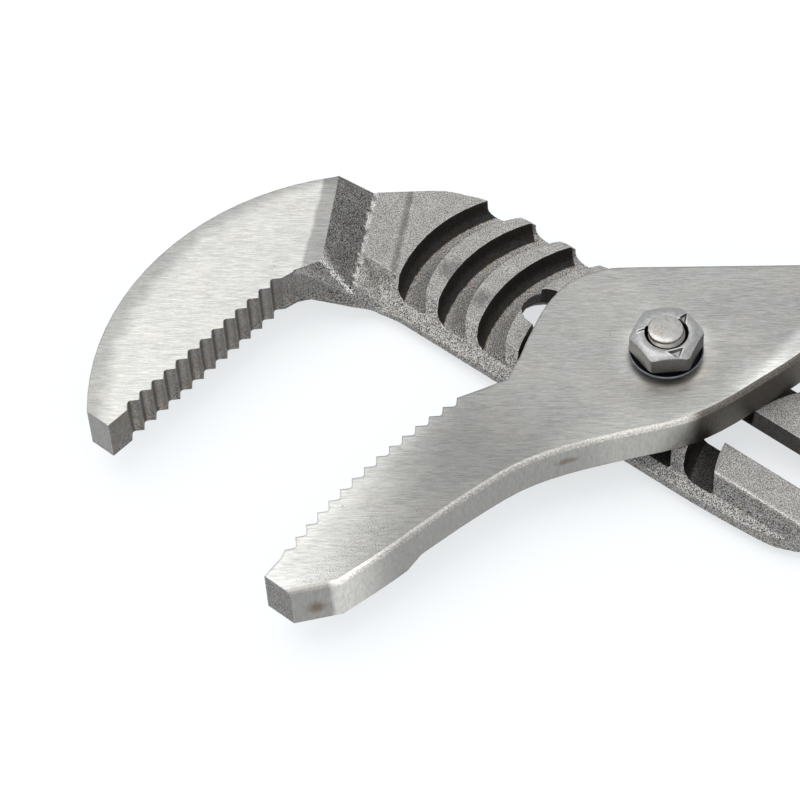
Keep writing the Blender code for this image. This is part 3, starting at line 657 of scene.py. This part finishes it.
# Painted light: the rim is painted lighter from near the bolt on, with a painted highlight near the lower
# jaw's nose.
lit = 1 + 0.3 * side.between(-30, -15) + nose_highlight
tone = RIM_TONE * (1 - 0.75 * dark_side) * lit * (1 - 0.55 * dents)
tone = tone * (1 + waves.sway(0.8)) * (1 + turning * (0.1 + grit.sway(2.4)))
colour = (dents + dark_side * 0.3 + 0.15).choose(GROUND_TINT, BROWN_TINT) * tone
normal = dented(surface, waves, 0.15, 0.5, rounded_edge(surface, 0.6))
finish_surface(surface, colour, 0.45 + waves.sway(0.2), normal)


def tongue_finish(middle, facing):
    """The finish of a face of the tongue half, from its middle and its facing."""
    if middle.z > JAW_TOP - 0.2 and facing.z > LEVEL and middle.x < GRIND_END:
        return GROUND_TOP
    if facing.x < -0.6 and middle.dot(ACROSS) < LOWER_NOSE:
        return JAW_END
    if facing.z > -UPRIGHT and middle.z > SHANK_TOP - 3 and middle.x < RIM_END and facing.y < 0.1:
        return GROUND_RIM
    return LOWER_TOOTH if abs(facing.z) < UPRIGHT else CORE


def front_rim(solid):
    """The edges along the plate's front and the lower jaw's outside, where its top turns down."""
    edges = []
    for edge in solid.edges:
        if len(edge.link_faces) != 2:
            continue
        ends = [vertex.co / MM for vertex in edge.verts]
        top, side = sorted(edge.link_faces, key=lambda face: -face.normal.z)
        at_top = min(end.z for end in ends) > JAW_TOP - 0.1 and top.normal.z > LEVEL
        outward = side.normal.y < -0.4 and side.normal.x > -0.6 and abs(side.normal.z) < 0.2
        if at_top and outward and max(end.x for end in ends) < ROUNDING_END:
            edges.append(edge)
    return edges


solid = plain_solid("tongue_half")
soften(solid, gullet_edges(solid, *LOWER_TEETH), LOWER_GULLET)
soften(solid, front_rim(solid), RIM_ROUNDING)
mark_faces(solid, tongue_finish)
finishes = (tongue_forged, plate_ground, rim_ground)
add_piece("tongue_half_steel", solid, "tongue_half", "tongue_body", finishes)


# Pivot bolt
# Turned from bar: a low round head under the shank, and above the nut a flat end with a groove
# round it, worn bright and specked with rust. It stands a little to one side in the nut's bore.
SIDES = 96
BOLT_SHIFT = Vector((-0.2, 0.75, 0))
BOLT_SHIFTED_ABOVE = 37.8
BOLT_PROFILE = (
    (0, 39.25), (3.0, 39.22), (4.5, 39.12), (4.9, 38.98), (5.08, 38.7), (5.1, 38.2), (5.0, 37.95),
    (4.9, 37.7), (5.25, 37.65), (5.42, 37.5), (5.45, 30.0), (5.5, 3.7), (11.6, 3.7), (12.0, 3.3),
    (12.0, 1.4), (11.6, 0.7), (10.8, 0.2), (9.6, 0.0), (0, 0.0),
)
BOLT_TONE = 0.4
BOLT_TINT = (1.0, 0.99, 0.97)
RUST_TINT = (0.75, 0.45, 0.3)
RUST_MIDDLE = (-2.4, 0.2, 39.0)


def swept(profile, shift=Vector(), shifted_above=0.0):
    """A turned solid: each radius and height swept round the bolt's axis, with its end shifted."""
    solid = bmesh.new()
    rings = []
    for radius, height in profile:
        middle = shift if height > shifted_above else Vector()
        angles = [math.tau * side / SIDES for side in range(SIDES if radius else 1)]
        spokes = [Vector((math.cos(angle) * radius, math.sin(angle) * radius, height)) for angle in angles]
        rings.append([solid.verts.new((middle + spoke) * MM) for spoke in spokes])
    pairs = list(zip(rings, rings[1:]))
    if len(rings[0]) > 1:
        pairs.append((rings[-1], rings[0]))
    for upper, lower in pairs:
        for side in range(SIDES):
            turn = (side + 1) % SIDES
            corners = ((upper, side), (lower, side), (lower, turn), (upper, turn))
            solid.faces.new(list(dict.fromkeys(ring[step % len(ring)] for ring, step in corners)))
    bmesh.ops.recalc_face_normals(solid, faces=solid.faces)
    return solid


bolt_steel, surface = new_surface("bolt_steel")
place = in_millimetres(surface)
rounded = rounded_edge(surface, 0.25)
open_face = openness(surface, 1.2, alone=False)
dimples = place.grain(0.9, detail=3.0)
blotch = place.grain(2.0, detail=3.0)
rust = place.grain(0.7, detail=3.0, rough=0.7).between(0.52, 0.62)
rusty = rust * place.away_from(RUST_MIDDLE).between(3.4, 1.2)
shade = 1 + dimples.sway(0.7) + blotch.sway(0.4) + 0.4 * turn_of(surface, rounded).between(0.03, 0.2)
collar = place.dot(UP).between(38.1, 37.7)
# Painted shade: the bolt is darkened where the nut closes round it.
grey = BOLT_TONE * shade * open_face.between(0.05, 0.6).choose(0.12, 1.0) * (1 - 0.5 * collar)
colour = (rusty * 0.85 + collar * blotch * 0.35).choose(BOLT_TINT, RUST_TINT) * grey
finish_surface(surface, colour, 0.36 + rusty * 0.3, dented(surface, dimples, 0.08, 0.5, rounded))
solid = swept(BOLT_PROFILE, BOLT_SHIFT, BOLT_SHIFTED_ABOVE)
add_piece("bolt", solid, "pivot_bolt", "pivot_body", (bolt_steel,))


# Spring washer
# A dished ring of blackened spring steel, oiled and glossy. It lies loose round the bolt between
# plate and nut, with its rim up, and a painted highlight runs round its edge.
WASHER_PROFILE = (
    (5.95, 28.75), (7.6, 29.1), (9.2, 29.95), (10.2, 30.75), (10.45, 30.85), (10.65, 30.8), (10.8, 30.55),
    (10.8, 30.2), (10.65, 29.9), (10.3, 29.65), (9.3, 29.0), (7.6, 28.0), (6.2, 27.62), (5.95, 27.7),
)
WASHER_RIM = (0, 0, 30.5)
WASHER_BLACK = (0.005, 0.0055, 0.007)
WASHER_HIGHLIGHT = (0.15, 0.165, 0.2)

washer_black, surface = new_surface("washer_black")
place = in_millimetres(surface)
oil = place.grain(2.0)
# Painted highlight: a pale, partly metallic band round the rim's outer edge.
rim_highlight = place.away_from(WASHER_RIM).between(10.45, 10.6) * place.dot(UP).between(30.35, 30.6)
values = {
    "Base Color": rim_highlight.choose(WASHER_BLACK, WASHER_HIGHLIGHT) * (0.3 + oil * 1.4),
    "Roughness": 0.24 + oil * 0.14,
    "Specular IOR Level": 0.15,
    "Coat Weight": 0.05,
    "Coat Roughness": 0.08,
    "Metallic": rim_highlight * 0.7,
    "Normal": dented(surface, oil, 0.1, 0.3, rounded_edge(surface, 0.2)),
}
surface.node("ShaderNodeOutputMaterial", {"Surface": surface.node("ShaderNodeBsdfPrincipled", values)})
add_piece("washer", swept(WASHER_PROFILE), "spring_washer", "pivot_body", (washer_black,))


# Nut
# A chamfered hexagon nut with dark flats and a worn top. Three blows of a triangular punch have
# pushed its metal against the bolt's end, so the gap round the bolt is closed at the back.
NUT_STEPS = 120
NUT_FLATS = 19.0
NUT_ROUND = 1.6
NUT_LOW = 31.3
NUT_TOP = 38.4
NUT_BORE = 6.2
FLAT_TURN = 60
CHAMFER_START = 8.5
CHAMFER_SLOPE = 0.55
CLOSED_BORE = 4.4
CLOSED_FROM = 46
CLOSED_TO = 154
CLOSING_TURN = 14
PUNCH_DEPTH = 0.85
PUNCH_SHALLOWER = 0.55
PUNCH_ABOVE = 2
PUNCH_MARKS = (
    ((-0.5, -7.2), (4.0, -6.2), (2.5, -9.7)),
    ((6.6, 6.6), (4.3, 5.0), (5.4, 1.9)),
    ((-5.1, 2.2), (-8.2, 1.2), (-8.2, 0.95), (-5.0, 1.8)),
)
NUT_TOP_TONE = 0.33
NUT_FLAT_TONE = 0.17
NUT_TINT = (0.985, 0.995, 1.0)
SEAM_RADIUS = 5.15


def nut_outline(angle):
    """How far the nut reaches in a direction: a hexagon with its corners rounded."""
    half_turn = FLAT_TURN / 2
    off_flat = abs((math.degrees(angle) % FLAT_TURN) - half_turn)
    off_corner = math.radians(half_turn - off_flat)
    corner = (NUT_FLATS / 2 - NUT_ROUND) / math.cos(math.radians(half_turn))
    rounding_ends = math.atan2(NUT_ROUND / 2, corner + NUT_ROUND * math.cos(math.radians(half_turn)))
    if off_corner > rounding_ends:
        return NUT_FLATS / 2 / math.cos(math.radians(off_flat))
    return corner * math.cos(off_corner) + math.sqrt(NUT_ROUND ** 2 - (corner * math.sin(off_corner)) ** 2)


def bore_at(angle):
    """The bore's radius at the nut's top, smaller at the back where the metal was pushed in."""
    turn = math.degrees(angle) % 360
    entered = min(max((turn - CLOSED_FROM) / CLOSING_TURN, 0), 1)
    left = min(max((CLOSED_TO - turn) / CLOSING_TURN, 0), 1)
    return NUT_BORE + (CLOSED_BORE - NUT_BORE) * (entered * left)


def nut_solid():
    """The nut: its section at each step of a turn, from the bore over the top to the underside."""
    solid = bmesh.new()
    rings = []
    for step in range(NUT_STEPS):
        angle = math.tau * step / NUT_STEPS
        outer = nut_outline(angle)
        drop = max(outer - CHAMFER_START, 0) * CHAMFER_SLOPE
        bore = bore_at(angle)
        edge = NUT_TOP - drop
        section = (
            (NUT_BORE, NUT_LOW), (NUT_BORE, NUT_TOP - 0.6),
            (bore, NUT_TOP - 0.4), (bore + 0.12, NUT_TOP - 0.1), (bore + 0.35, NUT_TOP),
            (CHAMFER_START - 0.7, NUT_TOP), (CHAMFER_START + 0.1, NUT_TOP - 0.2),
            (outer - 0.35, edge - 0.02), (outer - 0.08, edge - 0.2), (outer, edge - 0.5),
            (outer, NUT_LOW + drop * 0.6), (CHAMFER_START, NUT_LOW),
        )
        spoke = Vector((math.cos(angle), math.sin(angle), 0))
        rings.append([solid.verts.new((spoke * reach + UP * height) * MM) for reach, height in section])
    for step, ring in enumerate(rings):
        following = rings[(step + 1) % len(rings)]
        for corner in range(len(ring)):
            turn = (corner + 1) % len(ring)
            solid.faces.new((ring[corner], following[corner], following[turn], ring[turn]))
    bmesh.ops.recalc_face_normals(solid, faces=solid.faces)
    return solid


def new_object(name, solid):
    """A plain object of a solid, to cut or to cut with."""
    mesh = bpy.data.meshes.new(name)
    solid.to_mesh(mesh)
    solid.free()
    made = bpy.data.objects.new(name, mesh)
    bpy.context.scene.collection.objects.link(made)
    return made


def punch_solid(outline):
    """A punch on that outline, which goes deepest at the outline's first corner."""
    punch = bmesh.new()
    depths = [PUNCH_DEPTH] + [PUNCH_DEPTH * PUNCH_SHALLOWER] * (len(outline) - 1)
    low = [
        punch.verts.new((x * MM, y * MM, (NUT_TOP - depth) * MM)) for (x, y), depth in zip(outline, depths)
    ]
    high = [punch.verts.new((x * MM, y * MM, (NUT_TOP + PUNCH_ABOVE) * MM)) for x, y in outline]
    punch.faces.new(low)
    punch.faces.new(high)
    for corner in range(len(outline)):
        turn = (corner + 1) % len(outline)
        punch.faces.new((low[corner], low[turn], high[turn], high[corner]))
    bmesh.ops.recalc_face_normals(punch, faces=punch.faces)
    return punch


def punched(solid, marks):
    """The solid with each mark's outline sunk into its top."""
    blank = new_object("unpunched", solid)
    punches = [new_object("punch", punch_solid(outline)) for outline in marks]
    for punch in punches:
        cut = blank.modifiers.new("punch", "BOOLEAN")
        cut.operation = "DIFFERENCE"
        cut.solver = "EXACT"
        cut.object = punch
    graph = bpy.context.evaluated_depsgraph_get()
    cut_mesh = bpy.data.meshes.new_from_object(blank.evaluated_get(graph))
    for helper in [blank] + punches:
        bpy.data.objects.remove(helper)
    solid = bmesh.new()
    solid.from_mesh(cut_mesh)
    return solid


def depth_inside(place, outline):
    """How far a place lies inside a flat outline, in millimetres; less than 0 outside it."""
    corners = [Vector((*corner, 0)) for corner in outline]
    middle = sum(corners, Vector()) / len(corners)
    depths = []
    for start, end in zip(corners, corners[1:] + corners[:1]):
        edge = (end - start).normalized()
        inward = Vector((-edge.y, edge.x, 0))
        if inward.dot(middle - start) < 0:
            inward = -inward
        depths.append(place.dot(inward) - inward.dot(start))
    return reduce(Wire.smaller, depths)


nut_steel, surface = new_surface("nut_steel")
place = in_millimetres(surface)
facing = facing_of(surface)
upward = facing.dot(UP)
rounded = rounded_edge(surface, 0.35)
open_face = openness(surface, 1.4, alone=False)
dimples = place.grain(0.9, detail=4.0, rough=0.65)
drag = place.grain(0.3, stretch=(1, 1, 8))
flat = upward.between(0.5, 0.2)
on_top = upward.between(0.8, 0.95)
# Painted light: flats facing left are painted lighter.
left_flat_highlight = facing.dot(-TO_HANDLES).between(0.2, 0.8)
low = place.dot(UP).between(36.0, 31.0)
lip = place.away_from(UP * NUT_TOP).between(7.4, 6.6) * 0.1
# Painted shade along the inside of each punch outline, and a painted highlight on its raised lip.
insides = [depth_inside(place, outline) + dimples.sway(0.4) for outline in PUNCH_MARKS]
lines = [inside.between(-0.05, 0.1) * inside.between(0.6, 0.35) for inside in insides]
punched_line = reduce(Wire.larger, lines)
raised = reduce(Wire.larger, [(inside + 0.35).size().between(0.35, 0.1) for inside in insides])
seam = (place.away_from(BOLT_SHIFT + UP * NUT_TOP) - SEAM_RADIUS).size().between(0.3, 0.1)
seam = seam * place.dot((-1, 0.3, 0)).between(-1.0, 1.5) * on_top
tone = flat.choose(NUT_TOP_TONE, (NUT_FLAT_TONE + 0.2 * left_flat_highlight) * (1 - 0.3 * low)) * (1 - 0.75 * seam)
marks = (1 - 0.75 * punched_line * on_top) * (1 + (0.4 * raised + lip) * on_top)
shade = (1 + dimples.sway(0.9) + drag.sway(0.3)) * (1 + 0.5 * turn_of(surface, rounded).between(0.02, 0.15))
# Painted shade: the nut is darkened in its corners and where washer and bolt close on it.
grey = tone * shade * marks * open_face.between(0.1, 0.7).choose(0.15, 1.0)
colour = (flat * dimples.between(0.4, 0.6) * 0.4).choose(NUT_TINT, BROWN_TINT) * grey
normal = dented(surface, dimples + raised * 0.6, 0.15, 0.7, rounded)
finish_surface(surface, colour, 0.4 + dimples.sway(0.3), normal)
solid = punched(nut_solid(), PUNCH_MARKS)
add_piece("nut", solid, "pivot_nut", "pivot_body", (nut_steel,))


# Handle grips
# Soft vinyl sleeves on both handles. The hot handle is dipped into the liquid and the skin sets
# on it, so it is smooth and slightly wavy, rounded over the core's corners, with a soft shine.
LOWER_RED = (0.42, 0.03, 0.025)
UPPER_RED = (0.4, 0.028, 0.024)
GRIP_CUTS = 2
GRIP_SMOOTHINGS = 4


def grip_vinyl(name, tint):
    """Dipped vinyl of that tint, with long waves, a fine skin and a little dust."""
    made, surface = new_surface(name)
    place = in_millimetres(surface)
    wave = place.grain(9.0, detail=1.0)
    skin = place.grain(0.5)
    dust = place.grain(3.0, detail=4.0, rough=0.7)
    colour = (1 + wave.sway(0.25) + dust.sway(0.15)) * Vector(tint)
    straight = surface.node("ShaderNodeNewGeometry", output="Normal")
    normal = dented(surface, wave * 2 + skin * 0.2, 0.1, 0.4, straight)
    finish_surface(surface, colour, 0.42 + dust.sway(0.25), normal, 0.0)
    return made


def dipped(node):
    """A plain sleeve with its outside rounded the way that thick vinyl runs over corners."""
    solid = plain_solid(node)
    bmesh.ops.subdivide_edges(solid, edges=solid.edges, cuts=GRIP_CUTS, use_grid_fill=True)
    solid.normal_update()
    mouth = min(vertex.co.x for vertex in solid.verts)
    tip = max(vertex.co.x for vertex in solid.verts)
    middles = []
    for end in (mouth, tip):
        ring = [vertex.co for vertex in solid.verts if abs(vertex.co.x - end) < MM]
        middles.append(sum(ring, Vector()) / len(ring))
    outside = []
    for vertex in solid.verts:
        away = vertex.co - middles[0].lerp(middles[1], (vertex.co.x - mouth) / (tip - mouth))
        if vertex.co.x > mouth + 0.1 * MM and (vertex.normal.dot(away) > 0 or vertex.normal.x > 0.7):
            outside.append(vertex)
    for smoothing in range(GRIP_SMOOTHINGS):
        bmesh.ops.smooth_vert(
            solid, verts=outside, factor=0.5, use_axis_x=True, use_axis_y=True, use_axis_z=True
        )
    solid.normal_update()
    return solid


for name, node, body, slot, tint in (
    ("lower_grip", "groove_half_grip", "groove_body", "lower_vinyl", LOWER_RED),
    ("upper_grip", "tongue_half_grip", "tongue_body", "upper_vinyl", UPPER_RED),
):
    add_piece(name, dipped(node), node, body, (grip_vinyl(slot, tint),))
